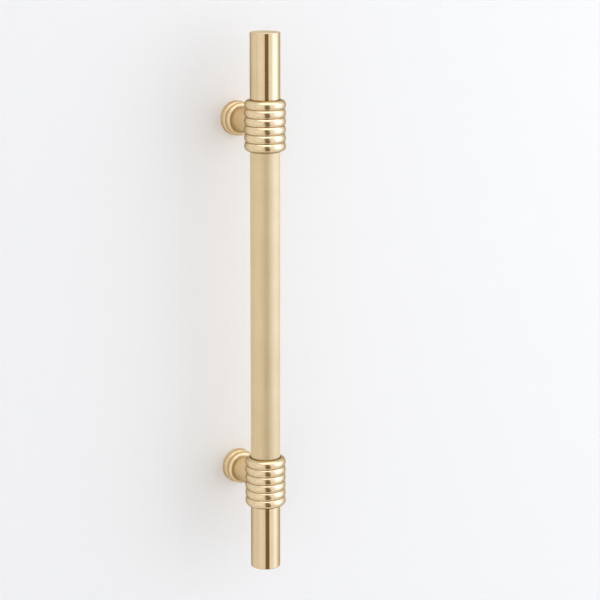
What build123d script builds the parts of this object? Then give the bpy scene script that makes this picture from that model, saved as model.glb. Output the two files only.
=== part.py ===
"""A straight brass door pull: a round bar in two beaded collars, each carried by a turned post.

Millimetres. +Z is up the door and +Y points into it. The door's face is the plane Y = 0 and the pull stands out
of it towards -Y. The origin is on the door's face, halfway between the two fixings.
"""

import os
from math import asin, degrees, radians, sqrt, tan

from build123d import *

# Driving dimensions of the whole pull
fixing_centres = 304.8
overall_length = 457.2
bar_diameter = 25.0
bar_stand_off = 51.5  # door face to the bar's axis

# Bar: a satin grip with a separate end piece beyond each collar
end_edge_round = 0.7  # free end of an end piece
butt_chamfer = 0.3  # where the grip and an end piece meet
joint_inset = 3.0  # how far inside the collar they meet

# Collars: sleeves turned with a row of equal beads
bead_count = 6
bead_pitch = 6.85
bead_depth = 1.4
collar_wall = 4.7  # bar surface to a bead's crest
end_bead_extra = 0.65  # how much longer the outer half of an end bead is
bore_mouth_round = 1.25
bore_clearance = 0.05

# Posts: a foot of two rings, a cove, and a plain neck
neck_step = 1.9  # how much the neck's radius is under the bar's
foot_step = 3.95  # how much the foot stands out from the neck
foot_ring_width = 6.5
foot_ring_depth = 1.5
front_ring_step = 0.7  # how much smaller the ring away from the door is
foot_cove = 0.5
foot_edge_break = 0.3
neck_clearance = 0.1  # round the neck, in the collar's side hole
saddle_clearance = 0.05  # between the coped neck and the bar

# Threads: M8 for the bolts that come through the door and M6 for the studs that join the pull's own pieces.
# Holes are at the tapping size and studs at the root of their thread.
fixing_thread_diameter = 8.0
fixing_thread_pitch = 1.25
fixing_tap_depth = 22.0  # into a post, from the door
tap_mouth_chamfer = 0.4
stud_thread_diameter = 6.0
stud_thread_pitch = 1.0
root_share = 1.2269  # outer diameter less root diameter, in pitches
drill_point_angle = 118
post_stud_length = 22.0
post_tap_depth = 12.0  # into the bar, from its back
tap_web = 3.0  # brass left in the grip between an end's hole and a post's hole
stud_end_play = 0.2  # between a stud's tip and the bottom of its hole
stud_chamfer = 0.7
socket_across_flats = 3.0
socket_depth = 3.0

# Sizes that follow
bar_radius = bar_diameter / 2
collar_height = bead_count * bead_pitch + 2 * end_bead_extra
collar_radius = bar_radius + collar_wall
collar_bore_radius = bar_radius + bore_clearance
neck_radius = bar_radius - neck_step
foot_radius = neck_radius + foot_step
foot_height = 2 * foot_ring_width
fixing_tap_radius = (fixing_thread_diameter - fixing_thread_pitch) / 2
stud_tap_radius = (stud_thread_diameter - stud_thread_pitch) / 2
stud_root_radius = (stud_thread_diameter - root_share * stud_thread_pitch) / 2
drill_point_slope = tan(radians(drill_point_angle / 2))
grip_half_length = fixing_centres / 2 + collar_height / 2 - joint_inset
bar_half_length = overall_length / 2
drill_point = stud_tap_radius / drill_point_slope
end_tap_depth = collar_height / 2 - joint_inset - stud_tap_radius - tap_web - drill_point
end_stud_length = 2 * (end_tap_depth - stud_end_play)
saddle_reach = sqrt(bar_radius**2 - neck_radius**2)  # bar axis to the tips of the coped neck

SIDES = (("upper", 1), ("lower", -1))


def bead_arc(width, depth):
    """Radius of a bead's arc and half the angle that it turns through."""
    radius = ((width / 2) ** 2 + depth**2) / (2 * depth)
    return radius, degrees(asin(width / 2 / radius))


def upright_plane(height):
    """Plane through the bar's axis: local x is the radius, local y is up, from the given height."""
    return Plane(origin=(0, -bar_stand_off, height), x_dir=(1, 0, 0), z_dir=(0, -1, 0))


def post_plane(height):
    """Plane through a post's axis: local x is the radius, local y is the distance out from the door."""
    return Plane(origin=(0, 0, height), x_dir=(1, 0, 0), z_dir=(0, 0, -1))


def outward_plane(stand_off, height):
    """Plane parallel to the door, facing away from it, on a post's axis."""
    return Plane(origin=(0, -stand_off, height), x_dir=(1, 0, 0), z_dir=(0, -1, 0))


def level_plane(height, up):
    """Plane across the bar's axis, facing up or down."""
    return Plane(origin=(0, -bar_stand_off, height), x_dir=(1, 0, 0), z_dir=(0, 0, up))


def drilled_hole(mouth, depth):
    """What a drill takes out for a stud's thread, from the mouth plane along its normal."""
    with BuildPart() as drilling:
        with BuildSketch(Plane.XZ):
            with BuildLine():
                Polyline(
                    (0, 0),
                    (stud_tap_radius, 0),
                    (stud_tap_radius, depth),
                    (0, depth + drill_point),
                    close=True,
                )
            make_face()
        revolve(axis=Axis.Z)
    return mouth.location * drilling.part


bar_axis = Axis((0, -bar_stand_off, 0), (0, 0, 1))
os.makedirs("parts", exist_ok=True)

# Grip bar, tapped in both ends and from behind at each post
with BuildPart() as grip_bar:
    with BuildSketch(level_plane(-grip_half_length, 1)):
        Circle(bar_radius)
    extrude(amount=2 * grip_half_length)
    chamfer(grip_bar.edges().filter_by(GeomType.CIRCLE), butt_chamfer)
    for _, up in SIDES:
        end_mouth = level_plane(up * grip_half_length, -up)
        back_mouth = outward_plane(bar_stand_off - bar_radius, up * fixing_centres / 2)
        add(drilled_hole(end_mouth, end_tap_depth), mode=Mode.SUBTRACT)
        add(drilled_hole(back_mouth, post_tap_depth), mode=Mode.SUBTRACT)
grip_bar.part.label = "grip_bar"
export_step(grip_bar.part, "parts/grip_bar.step")

# End pieces, with a soft edge at the free end
for side, up in SIDES:
    with BuildPart() as end_bar:
        with BuildSketch(level_plane(up * grip_half_length, up)):
            Circle(bar_radius)
        extrude(amount=bar_half_length - grip_half_length)
        rims = end_bar.edges().filter_by(GeomType.CIRCLE).sort_by(bar_axis)
        free_rim, butt_rim = (rims[-1], rims[0]) if up > 0 else (rims[0], rims[-1])
        fillet(free_rim, end_edge_round)
        chamfer(butt_rim, butt_chamfer)
        add(drilled_hole(level_plane(up * grip_half_length, up), end_tap_depth), mode=Mode.SUBTRACT)
    end_bar.part.label = f"{side}_end_bar"
    export_step(end_bar.part, f"parts/{side}_end_bar.step")

# Collars: the end beads round over into the bore, and the neck's side hole is behind
arc_radius, arc_angle = bead_arc(bead_pitch, bead_depth)
crest_centre = collar_radius - arc_radius
rim_radius = collar_bore_radius + bore_mouth_round
half_height = collar_height / 2
end_crest = (bead_count - 1) * bead_pitch / 2
mouth_depth = half_height - bore_mouth_round
for side, up in SIDES:
    with BuildPart() as collar:
        with BuildSketch(upright_plane(up * fixing_centres / 2)):
            with BuildLine():
                TangentArc((collar_radius, -end_crest), (rim_radius, -half_height), tangent=(0, -1))
                CenterArc((crest_centre, -end_crest), arc_radius, 0, arc_angle)
                for bead in range(1, bead_count - 1):
                    crest_height = bead * bead_pitch - end_crest
                    CenterArc((crest_centre, crest_height), arc_radius, -arc_angle, 2 * arc_angle)
                CenterArc((crest_centre, end_crest), arc_radius, -arc_angle, arc_angle)
                TangentArc((collar_radius, end_crest), (rim_radius, half_height), tangent=(0, 1))
                CenterArc((rim_radius, mouth_depth), bore_mouth_round, 90, 90)
                Line((collar_bore_radius, mouth_depth), (collar_bore_radius, -mouth_depth))
                CenterArc((rim_radius, -mouth_depth), bore_mouth_round, 180, 90)
            make_face()
        revolve(axis=bar_axis)
        with BuildSketch(outward_plane(0, up * fixing_centres / 2)):
            Circle(neck_radius + neck_clearance)
        extrude(amount=bar_stand_off, mode=Mode.SUBTRACT)
    collar.part.label = f"{side}_collar"
    export_step(collar.part, f"parts/{side}_collar.step")

# Posts: turned in one piece, bored from both ends with the larger thread at the door, and coped to the bar
front_radius = foot_radius - front_ring_step
back_arc, back_angle = bead_arc(foot_ring_width, foot_ring_depth)
front_arc, front_angle = bead_arc(foot_ring_width, foot_ring_depth - front_ring_step)
first_crest = foot_ring_width / 2
second_crest = first_crest + foot_ring_width
neck_end = bar_stand_off - saddle_reach
bore_step = fixing_tap_depth + (fixing_tap_radius - stud_tap_radius) / drill_point_slope
for side, up in SIDES:
    post_height = up * fixing_centres / 2
    with BuildPart() as post:
        with BuildSketch(post_plane(post_height)):
            with BuildLine():
                Polyline(
                    (fixing_tap_radius + tap_mouth_chamfer, 0),
                    (foot_radius - foot_edge_break, 0),
                    (foot_radius, foot_edge_break),
                    (foot_radius, first_crest),
                )
                CenterArc((foot_radius - back_arc, first_crest), back_arc, 0, back_angle)
                CenterArc((front_radius - front_arc, second_crest), front_arc, -front_angle, front_angle)
                TangentArc((front_radius, second_crest), (neck_radius + foot_cove, foot_height), tangent=(0, 1))
                CenterArc((neck_radius + foot_cove, foot_height + foot_cove), foot_cove, 180, 90)
                Polyline(
                    (neck_radius, foot_height + foot_cove),
                    (neck_radius, neck_end),
                    (stud_tap_radius, neck_end),
                    (stud_tap_radius, bore_step),
                    (fixing_tap_radius, fixing_tap_depth),
                    (fixing_tap_radius, tap_mouth_chamfer),
                    (fixing_tap_radius + tap_mouth_chamfer, 0),
                )
            make_face()
        revolve(axis=Axis((0, 0, post_height), (0, 1, 0)))
        with BuildSketch(level_plane(post_height - neck_radius, 1)):
            Circle(bar_radius + saddle_clearance)
        extrude(amount=2 * neck_radius, mode=Mode.SUBTRACT)
    post.part.label = f"{side}_post"
    export_step(post.part, f"parts/{side}_post.step")

# Post studs: from near the bottom of the bar's tapped hole back into the post, with a hexagon socket at the rear
stud_tip = bar_stand_off - bar_radius + post_tap_depth - stud_end_play
for side, up in SIDES:
    with BuildPart() as post_stud:
        with BuildSketch(outward_plane(stud_tip - post_stud_length, up * fixing_centres / 2)):
            Circle(stud_root_radius)
        extrude(amount=post_stud_length)
        chamfer(post_stud.edges().filter_by(GeomType.CIRCLE), stud_chamfer)
        with BuildSketch(outward_plane(stud_tip - post_stud_length, up * fixing_centres / 2)):
            RegularPolygon(socket_across_flats / 2, 6, major_radius=False)
        extrude(amount=socket_depth, mode=Mode.SUBTRACT)
    post_stud.part.label = f"{side}_post_stud"
    export_step(post_stud.part, f"parts/{side}_post_stud.step")

# End studs: across the joint between the grip and each end piece
for side, up in SIDES:
    with BuildPart() as end_stud:
        with BuildSketch(level_plane(up * (grip_half_length - end_stud_length / 2), up)):
            Circle(stud_root_radius)
        extrude(amount=end_stud_length)
        chamfer(end_stud.edges().filter_by(GeomType.CIRCLE), stud_chamfer)
    end_stud.part.label = f"{side}_end_stud"
    export_step(end_stud.part, f"parts/{side}_end_stud.step")
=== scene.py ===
"""Finishes, threads, studio and camera for a brass door pull.

Metres. +Z is up along the bar and +Y points into what carries the pull. The fixing face is the plane Y = 0.
"""

from math import cos, radians, sin, tau

import bmesh
import bpy
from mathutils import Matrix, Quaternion, Vector


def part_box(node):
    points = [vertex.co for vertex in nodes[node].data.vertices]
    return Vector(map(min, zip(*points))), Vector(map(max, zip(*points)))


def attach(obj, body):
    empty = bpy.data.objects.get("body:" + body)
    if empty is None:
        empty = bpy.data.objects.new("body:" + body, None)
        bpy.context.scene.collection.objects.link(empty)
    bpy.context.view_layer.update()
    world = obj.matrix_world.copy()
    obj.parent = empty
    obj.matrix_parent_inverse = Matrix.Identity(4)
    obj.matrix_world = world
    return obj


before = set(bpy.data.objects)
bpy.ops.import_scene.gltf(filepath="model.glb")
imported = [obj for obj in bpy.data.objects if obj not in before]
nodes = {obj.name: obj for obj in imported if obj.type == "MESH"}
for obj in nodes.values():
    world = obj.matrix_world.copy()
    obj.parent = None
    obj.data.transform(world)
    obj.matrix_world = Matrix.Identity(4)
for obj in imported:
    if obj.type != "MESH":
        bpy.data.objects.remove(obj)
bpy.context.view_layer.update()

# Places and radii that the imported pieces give
SIDES = ("upper", "lower")
grip_low, grip_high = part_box("grip_bar")
collar_low, collar_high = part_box("upper_collar")
post_low, post_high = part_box("upper_post")
free_end_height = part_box("upper_end_bar")[1].z
bar_middle = (grip_low + grip_high) / 2
collar_radius = (collar_high.x - collar_low.x) / 2
collar_half_height = (collar_high.z - collar_low.z) / 2
post_height = (post_low.z + post_high.z) / 2

# Brass under clear lacquer
POLISHED_BRASS = ((0.86, 0.68, 0.42, 1), (0.81, 0.63, 0.37, 1))  # a light and a warm shade
END_BRASS = ((0.80, 0.62, 0.37, 1), (0.75, 0.57, 0.325, 1))
SATIN_BRASS = ((0.89, 0.70, 0.40, 1), (0.84, 0.65, 0.35, 1))
POST_BRASS = ((0.90, 0.69, 0.40, 1), (0.84, 0.63, 0.35, 1))
# Darker brass laid on as painted shade in grooves and at the collars' ends
BRASS_PAINTED_SHADE = (0.30, 0.19, 0.06, 1)
PATCH_SIZE = 0.03  # slow changes of colour along the metal
PATCH_DETAIL = 3
EDGE_TINT = (0.34, 0.28, 0.18, 1)
GLOSS_LACQUER = (0.3, 1.0)  # how thick, and how rough as a share of the metal's own roughness
SATIN_LACQUER = (0.8, 0.65)
LACQUER_IOR = 1.6
NOISE_RANGE = (0.3, 0.7)  # where nearly all of a noise's values lie

# Satin grip: fine brushing along the bar
BRUSH_WIDTH = 0.0003
BRUSH_STRETCH = 0.008
BRUSH_DETAIL = 3
BRUSH_HEIGHT = 0.000006
BRUSH_ONE_WAY = 0.75  # how much more the brushing scatters light round the bar than along it
SATIN_ROUGHNESS = (0.42, 0.54)

# Turned pieces: rings left by the lathe, almost polished away on the end bars and softer on the posts
RING_WIDTH = 0.0002
RING_DETAIL = 2
RING_HEIGHT = 0.000001
END_ROUGHNESS = (0.07, 0.13)
COLLAR_ROUGHNESS = (0.15, 0.23)
POST_ROUGHNESS = (0.34, 0.44)

# Flat faces at the bar's free ends, softer than the polish round them
FACE_BAND = (0.0001, 0.0006)  # in from the face: where the soft finish is full, and where it has gone
FACE_ROUGHNESS = 0.5
FACE_EDGE_TINT = (0.5, 0.4, 0.24, 1)

# Painted shade: a darker brass colour laid into grooves and where the bar meets a collar, where shade falls
BEAD_DEPTH = 0.0014
# painted shade in the grooves between beads
BEAD_PAINTED_SHADE = 0.22
FOOT_GROOVES = (0.0065, 0.0133)  # out from the fixing face: between the rings, and at the neck
FOOT_GROOVE_WIDTH = 0.0009
# painted shade in the foot's grooves
FOOT_PAINTED_SHADE = 0.65
COLLAR_LINE_WIDTH = (0.0003, 0.0011)
# painted shade at the joint of bar and collar
COLLAR_LINE_PAINTED_SHADE = 0.85

# Steel studs
STEEL_BRIGHT = (0.56, 0.57, 0.58, 1)
STEEL_DULL = (0.36, 0.36, 0.37, 1)
STEEL_ROUGHNESS = (0.3, 0.48)
SPANGLES_A_METRE = 900.0
SPANGLE_DETAIL = 4
SPANGLE_HEIGHT = 0.00001

# Bolt threads at the rear of the posts
BOLT_TAP_RADIUS = 0.003375
THREAD_PITCH = 0.00125
THREAD_HEIGHT = 0.0006
THREAD_FOOT = 0.0011
THREAD_BURY = 0.00005
THREAD_START = 0.0013  # in from the fixing face
THREAD_TURNS = 15
STEPS_A_TURN = 40

# Studio wall, floor and sky
SKY = (0.79, 0.79, 0.79, 1)
WALL_COLOUR = (0.955, 0.948, 0.93, 1)
WALL_GAP = 0.0001
WALL_HALF_WIDTH = 3.2
WALL_TOP = 1.6
FLOOR_COLOUR = (0.76, 0.76, 0.76, 1)
FLOOR_GLOW = 0.45  # share of plain white in how the floor looks
FLOOR_DROP = 1.2
FLOOR_REACH = 20.0
PAINT_ROUGHNESS = 0.9
PAINT_SPECULAR = 0.1

# Studio panels: each stands between two bearings from the bar, at a distance from it, or hangs overhead
STAND_FOOT = -1.19  # height at which the panels and the flag stand
PANEL_SQUAT = 0.6  # width of a panel's bright middle, as a share of its height
SIDE_PANEL_STAND = (-90.5, -32, 2.3)
SIDE_PANEL_TOP = 1.6
SIDE_PANEL_MIDDLE = (-62, 2.0, 0.0)  # bearing, distance and height of the bright middle
SIDE_PANEL_SPOT = (0.2, 1.3)  # radius of the bright middle, and where it has faded
SIDE_PANEL_GLOW = ((0.97, 0.97, 1.02, 1), (0.83, 0.83, 0.87, 1))  # in the middle and at the edge
KEY_PANEL_STAND = (-8, 90.5, 3.0)
KEY_PANEL_TOP = 3.2
KEY_PANEL_MIDDLE = (57, 2.02, 0.5)
KEY_PANEL_SPOT = (0.5, 1.6)
KEY_PANEL_GLOW = ((1.57, 1.6, 1.68, 1), (0.93, 0.95, 1.0, 1))
KEY_CARD_STAND = (-8, 90.5, 3.02)  # a card just behind the key panel, which the metal mirrors in its place
KEY_CARD_GLOW = ((1.52, 1.73, 2.4, 1), (0.95, 1.0, 1.06, 1))
TOP_PANEL_HALF_WIDTH = 1.2
TOP_PANEL_BACK = -0.02
TOP_PANEL_FRONT = -1.6
TOP_PANEL_HEIGHT = 1.5
TOP_PANEL_MIDDLE = (0, -0.6, TOP_PANEL_HEIGHT)
TOP_PANEL_SPOT = (0.4, 1.2)
TOP_PANEL_GLOW = ((2.09, 2.2, 2.53, 1), (1.52, 1.6, 1.84, 1))

# Studio flag: a brown sheet that leans away from the bar, and that the polish mirrors as a dark stripe
FLAG_COLOUR = (0.235, 0.157, 0.073, 1)
FLAG_FOOT = (-27, 11.5, 0.62)  # two bearings from the bar, and the distance
FLAG_HEAD = (-31, -6, 2.3)
FLAG_TOP = 1.6

# Camera
VIEW_AZIMUTH = -28.6
VIEW_ELEVATION = 13.2
VIEW_DISTANCE = 1.7
VIEW_ROLL = 0.15
AIM_RIGHT = 0.029
AIM_UP = 0.0054
LENS = 121.98


def add_node(tree, kind, inputs=None, **settings):
    """A shader node with its settings made, and its inputs given a value or another node's output."""
    made = tree.nodes.new(kind)
    for setting, value in settings.items():
        setattr(made, setting, value)
    for name, value in (inputs or {}).items():
        if isinstance(value, bpy.types.NodeSocket):
            tree.links.new(value, made.inputs[name])
        else:
            made.inputs[name].default_value = value
    return made


def new_finish(name):
    """A new material: itself, its node tree and its shader."""
    finish = bpy.data.materials.new(name)
    finish.use_nodes = True
    return finish, finish.node_tree, finish.node_tree.nodes["Principled BSDF"]


def object_place(tree):
    """Where a point is on its piece."""
    return add_node(tree, "ShaderNodeTexCoord").outputs["Object"]


def spread(tree, value, low, high):
    """A noise value, which keeps near a half, stretched over a range."""
    least, most = NOISE_RANGE
    inputs = {"Value": value, "From Min": least, "From Max": most, "To Min": low, "To Max": high}
    return add_node(tree, "ShaderNodeMapRange", inputs).outputs["Result"]


def blend_colours(tree, share, first, second):
    """A colour between two others."""
    mixer = add_node(tree, "ShaderNodeMix", data_type="RGBA")
    tree.links.new(share, mixer.inputs["Factor"])
    for socket, colour in (("A", first), ("B", second)):
        slot = [s for s in mixer.inputs if s.name == socket and s.type == "RGBA"][0]
        if isinstance(colour, bpy.types.NodeSocket):
            tree.links.new(colour, slot)
        else:
            slot.default_value = colour
    return [s for s in mixer.outputs if s.type == "RGBA"][0]


def scratch(tree, shader, marks, height):
    """Raises fine marks on a finish."""
    bump = add_node(tree, "ShaderNodeBump", {"Strength": 1.0, "Distance": height, "Height": marks})
    tree.links.new(bump.outputs["Normal"], shader.inputs["Normal"])


def part_of(tree, place, axis):
    """One coordinate of a place."""
    return add_node(tree, "ShaderNodeSeparateXYZ", {"Vector": place}).outputs[axis]


def length_of(tree, arrow):
    """How long a vector is."""
    return add_node(tree, "ShaderNodeVectorMath", {0: arrow}, operation="LENGTH").outputs["Value"]


def sum_of(tree, operation, first, second=0.0):
    """A sum with one or two numbers."""
    return add_node(tree, "ShaderNodeMath", {0: first, 1: second}, operation=operation).outputs["Value"]


def fade(tree, value, full, none, strength):
    """The strength where a value is at full, falling to nothing at none."""
    inputs = {"Value": value, "From Min": full, "From Max": none, "To Min": strength, "To Max": 0.0}
    eased = add_node(tree, "ShaderNodeMapRange", inputs, interpolation_type="SMOOTHSTEP")
    return eased.outputs["Result"]


def brushing(tree, place):
    """Long scratches up the bar."""
    drawn_out = add_node(tree, "ShaderNodeMapping", {"Vector": place, "Scale": (1, 1, BRUSH_STRETCH)})
    inputs = {"Vector": drawn_out.outputs["Vector"], "Scale": 1 / BRUSH_WIDTH, "Detail": BRUSH_DETAIL}
    return add_node(tree, "ShaderNodeTexNoise", inputs).outputs["Fac"]


def lathe_rings(tree, place, axis):
    """Rings round an axis."""
    inputs = {"W": part_of(tree, place, axis), "Scale": 1 / RING_WIDTH, "Detail": RING_DETAIL}
    return add_node(tree, "ShaderNodeTexNoise", inputs, noise_dimensions="1D").outputs["Fac"]


def rings_up_the_bar(tree, place):
    """The rings on a collar or an end bar."""
    return lathe_rings(tree, place, "Z")


def rings_along_a_post(tree, place):
    """The rings on a post."""
    return lathe_rings(tree, place, "Y")


def painted_shade_at_collar_ends(tree, place):
    """Painted shade: a dark line on the bar where it goes into a collar."""
    height = sum_of(tree, "ABSOLUTE", part_of(tree, place, "Z"))
    from_collar = sum_of(tree, "ABSOLUTE", sum_of(tree, "SUBTRACT", height, post_height))
    outside = sum_of(tree, "SUBTRACT", from_collar, collar_half_height)
    return fade(tree, outside, *COLLAR_LINE_WIDTH, COLLAR_LINE_PAINTED_SHADE)


def painted_shade_between_beads(tree, place):
    """Painted shade: dark grooves round a collar."""
    inputs = {"Vector": place, "Location": (0, -bar_middle.y, 0), "Scale": (1, 1, 0)}
    from_axis = add_node(tree, "ShaderNodeMapping", inputs).outputs["Vector"]
    groove = collar_radius - BEAD_DEPTH
    return fade(tree, length_of(tree, from_axis), groove, groove + BEAD_DEPTH / 2, BEAD_PAINTED_SHADE)


def painted_shade_in_foot_grooves(tree, place):
    """Painted shade: dark grooves round a post's foot, between its rings and at the neck."""
    along_post = part_of(tree, place, "Y")
    first, second = [
        sum_of(tree, "ABSOLUTE", sum_of(tree, "ADD", along_post, distance)) for distance in FOOT_GROOVES
    ]
    nearest = sum_of(tree, "MINIMUM", first, second)
    return fade(tree, nearest, 0.0, FOOT_GROOVE_WIDTH, FOOT_PAINTED_SHADE)


def lacquered_brass(
    name,
    marks,
    mark_height,
    roughness,
    painted_shade,
    brass=POLISHED_BRASS,
    lacquer=GLOSS_LACQUER,
    one_way=0.0,
):
    """A brass finish: its marks, how high, rough and one-way they are, and where shade is painted on it as
    darker brass.
    """
    finish, tree, shader = new_finish(name)
    place = object_place(tree)
    inputs = {"Vector": place, "Scale": 1 / PATCH_SIZE, "Detail": PATCH_DETAIL}
    patches = add_node(tree, "ShaderNodeTexNoise", inputs).outputs["Fac"]
    clean = blend_colours(tree, spread(tree, patches, 0, 1), *brass)
    # Painted shade: the mask blends the darker brass into the clean colour
    colour = blend_colours(tree, painted_shade(tree, place), clean, BRASS_PAINTED_SHADE)
    tree.links.new(colour, shader.inputs["Base Color"])
    scratches = marks(tree, place)
    tree.links.new(spread(tree, scratches, *roughness), shader.inputs["Roughness"])
    scratch(tree, shader, scratches, mark_height)
    thickness, rough_share = lacquer
    shader.inputs["Metallic"].default_value = 1
    shader.inputs["Specular Tint"].default_value = EDGE_TINT
    shader.inputs["Anisotropic"].default_value = one_way
    shader.inputs["Coat Weight"].default_value = thickness
    shader.inputs["Coat IOR"].default_value = LACQUER_IOR
    shader.inputs["Coat Roughness"].default_value = rough_share * sum(roughness) / 2
    return finish


def soften_free_end(finish):
    """Leaves the flat face at a bar's free end as it was turned, softer than the polish."""
    tree = finish.node_tree
    shader = tree.nodes["Principled BSDF"]
    height = sum_of(tree, "ABSOLUTE", part_of(tree, object_place(tree), "Z"))
    face = fade(tree, sum_of(tree, "SUBTRACT", free_end_height, height), *FACE_BAND, 1.0)
    polish = shader.inputs["Roughness"].links[0].from_socket
    inputs = {"Value": face, "To Min": polish, "To Max": FACE_ROUGHNESS}
    softened = add_node(tree, "ShaderNodeMapRange", inputs).outputs["Result"]
    tree.links.new(softened, shader.inputs["Roughness"])
    tree.links.new(blend_colours(tree, face, EDGE_TINT, FACE_EDGE_TINT), shader.inputs["Specular Tint"])


def zinc_steel():
    """The studs' finish: dull plating with a fine spangle."""
    finish, tree, shader = new_finish("zinc_steel")
    inputs = {"Vector": object_place(tree), "Scale": SPANGLES_A_METRE, "Detail": SPANGLE_DETAIL}
    spangle = add_node(tree, "ShaderNodeTexNoise", inputs).outputs["Fac"]
    colour = blend_colours(tree, spread(tree, spangle, 0, 1), STEEL_BRIGHT, STEEL_DULL)
    tree.links.new(colour, shader.inputs["Base Color"])
    tree.links.new(spread(tree, spangle, *STEEL_ROUGHNESS), shader.inputs["Roughness"])
    scratch(tree, shader, spangle, SPANGLE_HEIGHT)
    shader.inputs["Metallic"].default_value = 1
    return finish


def finish_node(name, finish):
    """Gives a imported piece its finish."""
    mesh = nodes[name].data
    mesh.materials.clear()
    mesh.materials.append(finish)


def add_piece(name, shape, finish):
    """An object at the origin from a bmesh, with one finish."""
    mesh = bpy.data.meshes.new(name)
    shape.to_mesh(mesh)
    shape.free()
    mesh.materials.append(finish)
    piece = bpy.data.objects.new(name, mesh)
    bpy.context.scene.collection.objects.link(piece)
    return piece


def bolt_thread(side, finish):
    """The ridge of the bolt's thread in the rear of a post, wound out towards the fixing face."""
    low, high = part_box(f"{side}_post")
    height = (low.z + high.z) / 2
    wall = BOLT_TAP_RADIUS + THREAD_BURY
    deepest = -THREAD_START - THREAD_TURNS * THREAD_PITCH
    shape = bmesh.new()
    root_front = shape.verts.new((wall, deepest - THREAD_FOOT / 2, height))
    root_back = shape.verts.new((wall, deepest + THREAD_FOOT / 2, height))
    crest = shape.verts.new((wall - THREAD_HEIGHT, deepest, height))
    section = [root_front, crest, root_back]
    edges = [shape.edges.new((section[i], section[i - 1])) for i in range(len(section))]
    bmesh.ops.spin(
        shape,
        geom=section + edges,
        cent=(0, 0, height),
        axis=(0, 1, 0),
        dvec=(0, THREAD_PITCH / STEPS_A_TURN, 0),
        angle=tau * THREAD_TURNS,
        steps=STEPS_A_TURN * THREAD_TURNS,
    )
    open_ends = [edge for edge in shape.edges if edge.is_boundary]
    bmesh.ops.holes_fill(shape, edges=open_ends, sides=len(section))
    bmesh.ops.recalc_face_normals(shape, faces=shape.faces)
    thread = add_piece(f"{side}_bolt_thread", shape, finish)
    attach(thread, "root")


def matt_paint(name, colour, glow=0.0):
    """A matt paint for the studio, brightened by a share of white where it is looked at."""
    finish, tree, shader = new_finish(name)
    shader.inputs["Base Color"].default_value = colour
    shader.inputs["Roughness"].default_value = PAINT_ROUGHNESS
    shader.inputs["Specular IOR Level"].default_value = PAINT_SPECULAR
    path = add_node(tree, "ShaderNodeLightPath").outputs
    mirrored = sum_of(tree, "MAXIMUM", path["Is Glossy Ray"], path["Is Transmission Ray"])
    looked_at = sum_of(tree, "MAXIMUM", path["Is Camera Ray"], mirrored)
    share = sum_of(tree, "MULTIPLY", looked_at, glow)
    white = add_node(tree, "ShaderNodeEmission").outputs["Emission"]
    paint = add_node(tree, "ShaderNodeMixShader", {"Fac": share, 1: shader.outputs["BSDF"], 2: white})
    tree.links.new(paint.outputs["Shader"], tree.nodes["Material Output"].inputs["Surface"])
    return finish


def clear_from_behind(finish):
    """Lets a painted sheet be looked through from behind."""
    tree = finish.node_tree
    surface = tree.nodes["Material Output"].inputs["Surface"]
    paint = surface.links[0].from_socket
    behind = add_node(tree, "ShaderNodeNewGeometry").outputs["Backfacing"]
    clear = add_node(tree, "ShaderNodeBsdfTransparent").outputs["BSDF"]
    either = add_node(tree, "ShaderNodeMixShader", {"Fac": behind, 1: paint, 2: clear})
    tree.links.new(either.outputs["Shader"], surface)
    return finish


def panel_finish(name, middle, spot, glow):
    """A panel that gives most light near its middle and fades to its edges."""
    finish, tree, shader = new_finish(name)
    inputs = {"Vector": object_place(tree), "Location": -middle, "Scale": (1, 1, PANEL_SQUAT)}
    from_middle = add_node(tree, "ShaderNodeMapping", inputs).outputs["Vector"]
    bright, faded = spot
    inputs = {"Value": length_of(tree, from_middle), "From Min": bright, "From Max": faded}
    outward = add_node(tree, "ShaderNodeMapRange", inputs, interpolation_type="SMOOTHSTEP")
    colour = blend_colours(tree, outward.outputs["Result"], *glow)
    shader.inputs["Base Color"].default_value = (0, 0, 0, 1)
    shader.inputs["Emission Strength"].default_value = 1.0
    tree.links.new(colour, shader.inputs["Emission Color"])
    return finish


def round_the_bar(azimuth, distance, height):
    """A place in the studio, by its bearing from the bar and its height."""
    bearing = radians(azimuth)
    return Vector((sin(bearing) * distance, bar_middle.y - cos(bearing) * distance, height))


def standing_corners(foot, head, top):
    """Corners of a sheet that stands by the bar, from two bearings and a distance for its foot and head."""
    foot_left, foot_right, foot_distance = foot
    head_left, head_right, head_distance = head
    return [
        round_the_bar(foot_left, foot_distance, STAND_FOOT),
        round_the_bar(foot_right, foot_distance, STAND_FOOT),
        round_the_bar(head_right, head_distance, top),
        round_the_bar(head_left, head_distance, top),
    ]


def studio_sheet(name, corners, finish, seen=True, shades=True, mirrored=True):
    """A flat sheet of the studio, facing the side from which its corners run anticlockwise."""
    shape = bmesh.new()
    shape.faces.new([shape.verts.new(corner) for corner in corners])
    sheet = add_piece(name, shape, finish)
    sheet.visible_camera = seen
    sheet.visible_diffuse = shades
    sheet.visible_glossy = mirrored
    sheet.visible_shadow = mirrored


def set_backdrop():
    """Wall, floor and sky."""
    left, right = -WALL_HALF_WIDTH, WALL_HALF_WIDTH
    studio_sheet(
        "studio_wall",
        [
            (left, -WALL_GAP, -FLOOR_DROP),
            (right, -WALL_GAP, -FLOOR_DROP),
            (right, -WALL_GAP, WALL_TOP),
            (left, -WALL_GAP, WALL_TOP),
        ],
        clear_from_behind(matt_paint("studio_wall", WALL_COLOUR)),
    )
    studio_sheet(
        "studio_floor",
        [
            (-FLOOR_REACH, -FLOOR_REACH, -FLOOR_DROP),
            (FLOOR_REACH, -FLOOR_REACH, -FLOOR_DROP),
            (FLOOR_REACH, FLOOR_REACH, -FLOOR_DROP),
            (-FLOOR_REACH, FLOOR_REACH, -FLOOR_DROP),
        ],
        matt_paint("studio_floor", FLOOR_COLOUR, FLOOR_GLOW),
    )
    world = bpy.data.worlds.new("studio_sky")
    world.use_nodes = True
    world.node_tree.nodes["Background"].inputs["Color"].default_value = SKY
    bpy.context.scene.world = world


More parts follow.
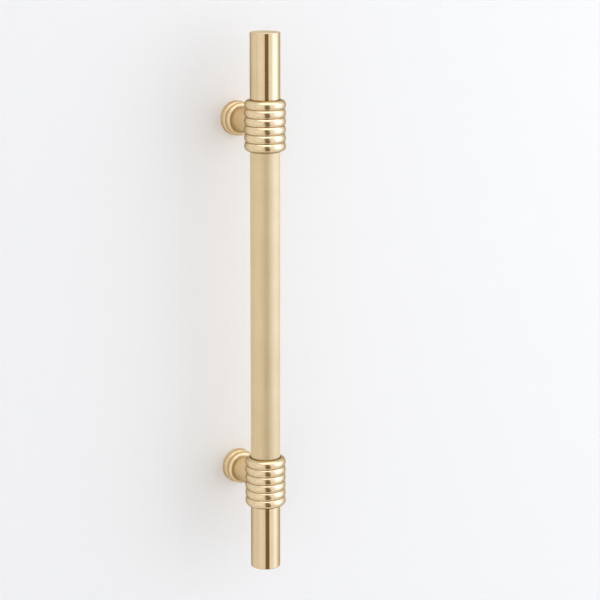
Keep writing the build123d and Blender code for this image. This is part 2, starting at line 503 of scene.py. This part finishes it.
def set_lights():
    """The glowing panels at the side, in front and overhead, and the flag."""
    side_middle = round_the_bar(*SIDE_PANEL_MIDDLE)
    studio_sheet(
        "studio_side_panel",
        standing_corners(SIDE_PANEL_STAND, SIDE_PANEL_STAND, SIDE_PANEL_TOP),
        panel_finish("studio_side_panel", side_middle, SIDE_PANEL_SPOT, SIDE_PANEL_GLOW),
        seen=False,
    )
    key_middle = round_the_bar(*KEY_PANEL_MIDDLE)
    studio_sheet(
        "studio_key_panel",
        standing_corners(KEY_PANEL_STAND, KEY_PANEL_STAND, KEY_PANEL_TOP),
        panel_finish("studio_key_panel", key_middle, KEY_PANEL_SPOT, KEY_PANEL_GLOW),
        seen=False,
        mirrored=False,
    )
    studio_sheet(
        "studio_key_card",
        standing_corners(KEY_CARD_STAND, KEY_CARD_STAND, KEY_PANEL_TOP),
        panel_finish("studio_key_card", key_middle, KEY_PANEL_SPOT, KEY_CARD_GLOW),
        seen=False,
        shades=False,
    )
    studio_sheet(
        "studio_top_panel",
        [
            (-TOP_PANEL_HALF_WIDTH, TOP_PANEL_BACK, TOP_PANEL_HEIGHT),
            (TOP_PANEL_HALF_WIDTH, TOP_PANEL_BACK, TOP_PANEL_HEIGHT),
            (TOP_PANEL_HALF_WIDTH, TOP_PANEL_FRONT, TOP_PANEL_HEIGHT),
            (-TOP_PANEL_HALF_WIDTH, TOP_PANEL_FRONT, TOP_PANEL_HEIGHT),
        ],
        panel_finish("studio_top_panel", Vector(TOP_PANEL_MIDDLE), TOP_PANEL_SPOT, TOP_PANEL_GLOW),
        seen=False,
        shades=False,
    )
    studio_sheet(
        "studio_flag",
        standing_corners(FLAG_FOOT, FLAG_HEAD, FLAG_TOP),
        matt_paint("studio_flag", FLAG_COLOUR),
        seen=False,
        shades=False,
    )


def set_camera():
    """The camera, at the photo's viewing angle, with the pull a little left of the picture's middle."""
    azimuth = radians(VIEW_AZIMUTH)
    elevation = radians(VIEW_ELEVATION)
    outward = Vector((sin(azimuth) * cos(elevation), -cos(azimuth) * cos(elevation), sin(elevation)))
    spot = bar_middle + VIEW_DISTANCE * outward
    rightward = Vector((cos(azimuth), sin(azimuth), 0))
    aim = bar_middle + rightward * AIM_RIGHT + Vector((0, 0, AIM_UP))
    camera = bpy.data.objects.new("camera", bpy.data.cameras.new("camera"))
    camera.data.lens = LENS
    camera.location = spot
    camera.rotation_mode = "QUATERNION"
    level = (aim - spot).to_track_quat("-Z", "Y")
    camera.rotation_quaternion = level @ Quaternion((0, 0, 1), radians(VIEW_ROLL))
    bpy.context.scene.collection.objects.link(camera)
    bpy.context.scene.camera = camera


# Finishes
satin_grip = lacquered_brass(
    "satin_grip_brass",
    brushing,
    BRUSH_HEIGHT,
    SATIN_ROUGHNESS,
    painted_shade_at_collar_ends,
    SATIN_BRASS,
    SATIN_LACQUER,
    BRUSH_ONE_WAY,
)
polished_end = lacquered_brass(
    "polished_end_brass",
    rings_up_the_bar,
    RING_HEIGHT,
    END_ROUGHNESS,
    painted_shade_at_collar_ends,
    END_BRASS,
)
soften_free_end(polished_end)
polished_collar = lacquered_brass(
    "polished_collar_brass",
    rings_up_the_bar,
    RING_HEIGHT,
    COLLAR_ROUGHNESS,
    painted_shade_between_beads,
)
turned_post = lacquered_brass(
    "turned_post_brass",
    rings_along_a_post,
    RING_HEIGHT,
    POST_ROUGHNESS,
    painted_shade_in_foot_grooves,
    POST_BRASS,
)
stud_steel = zinc_steel()

# Pieces
finish_node("grip_bar", satin_grip)
for side in SIDES:
    finish_node(f"{side}_end_bar", polished_end)
    finish_node(f"{side}_collar", polished_collar)
    finish_node(f"{side}_post", turned_post)
    finish_node(f"{side}_end_stud", stud_steel)
    finish_node(f"{side}_post_stud", stud_steel)
    bolt_thread(side, turned_post)

# Studio and camera
set_backdrop()
set_lights()
set_camera()
bpy.context.scene.view_settings.view_transform = "Standard"
